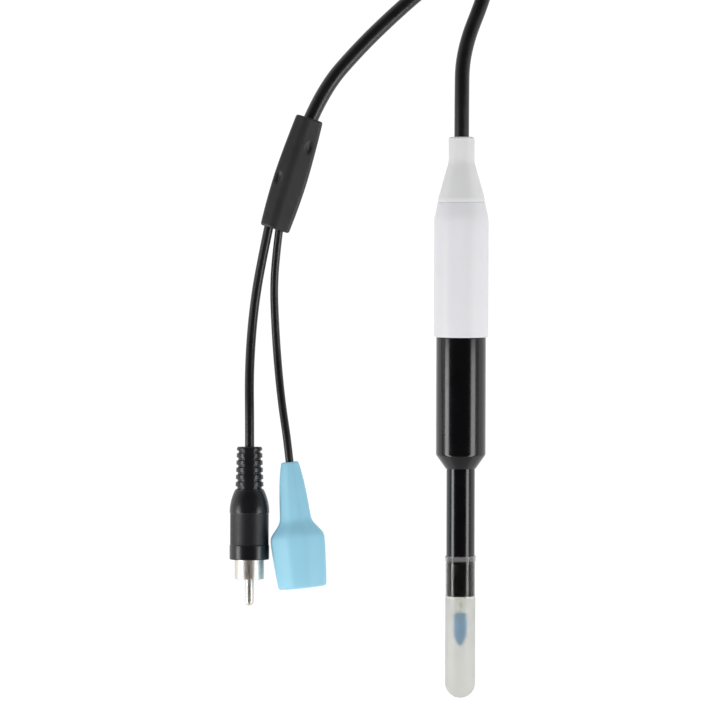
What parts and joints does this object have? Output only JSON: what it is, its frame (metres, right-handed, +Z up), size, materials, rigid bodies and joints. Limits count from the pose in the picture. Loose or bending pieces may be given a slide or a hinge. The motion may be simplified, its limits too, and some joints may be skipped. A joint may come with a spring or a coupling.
{
  "type": "ph electrode",
  "caption": "Slim black pH probe with a white housing, a clear wetting cap and a fixed cable that splits to a phono plug and a bayonet plug.",
  "frame": {"origin": "under the middle of the electrode from the cap's end to the strain relief, on the surface that it lies on", "axes": "+Y along the electrode from its tip to its cable, +Z up from the surface"},
  "size_m": [0.154, 0.3149, 0.0212],
  "materials": {
    "cap_clear": "soft clear plastic, slightly hazy",
    "black_gloss": "glossy black",
    "black_matt": "matt black",
    "bulb_glass": "blue-tinted clear glass",
    "stem_glass": "clear glass",
    "silver": "silver wire",
    "steel": "plain",
    "ceramic_white": "porous, unglazed",
    "seal_rubber": "plain",
    "resin": "cast resin",
    "core_white": "wire insulation",
    "white_shell": "satin",
    "grey_soft": "soft satin",
    "cable_black": "smooth jacket",
    "tie_grey": "woven strap",
    "splitter_grey": "moulded, fine texture",
    "plug_black": "satin gloss",
    "nickel": "bright nickel plate",
    "insulator_white": "plain",
    "boot_blue": "soft satin",
    "contact_gold": "gold flash"
  },
  "bodies": {
    "electrode": {"shaft": "black_gloss", "ph_bulb": "bulb_glass", "glass_stem": "stem_glass", "inner_wire": "silver", "reference_wire": "silver", "temperature_probe": "steel", "ceramic_junction": "ceramic_white", "tip_seal": "black_matt", "upper_stem_seal": "black_matt", "head": "black_gloss", "head_o_ring": "seal_rubber", "potting_plug": "resin", "signal_core": "core_white", "reference_core": "core_white", "probe_core": "core_white", "probe_tail": "core_white", "upper_housing": "white_shell", "strain_relief": "grey_soft", "cable_anchor_ring": "steel", "cable_jacket_end": "cable_black", "main_cable_a": "cable_black", "cable_coil": "cable_black", "main_cable_b": "cable_black", "coil_ties": "tie_grey", "cable_splitter": "splitter_grey", "phono_lead": "cable_black", "bayonet_lead": "cable_black", "phono_cover": "plug_black", "phono_shell": "nickel", "phono_insulator": "insulator_white", "phono_pin": "nickel", "phono_lead_end": "cable_black", "plug_body": "nickel", "plug_insulator": "insulator_white", "plug_pin": "contact_gold", "plug_gasket": "seal_rubber", "wave_washer": "steel", "snap_ring": "steel", "crimp_sleeve": "nickel", "bayonet_lead_end": "cable_black"},
    "cap": {"wetting_cap": "cap_clear"},
    "coupling": {"bayonet_boot": "boot_blue", "coupling_ring": "nickel"}
  },
  "joints": [
    {"name": "cap_pull", "type": "slide", "parent": "electrode", "child": "cap", "axis": [0, -0.9994, -0.0351], "range_m": [0, 0.06]},
    {"name": "coupling_spin", "type": "hinge", "parent": "electrode", "child": "coupling", "pos_m": [-0.05561, -0.05986, 0.0085], "axis": [0.1045, -0.9945, 0], "continuous": true}
  ]
}
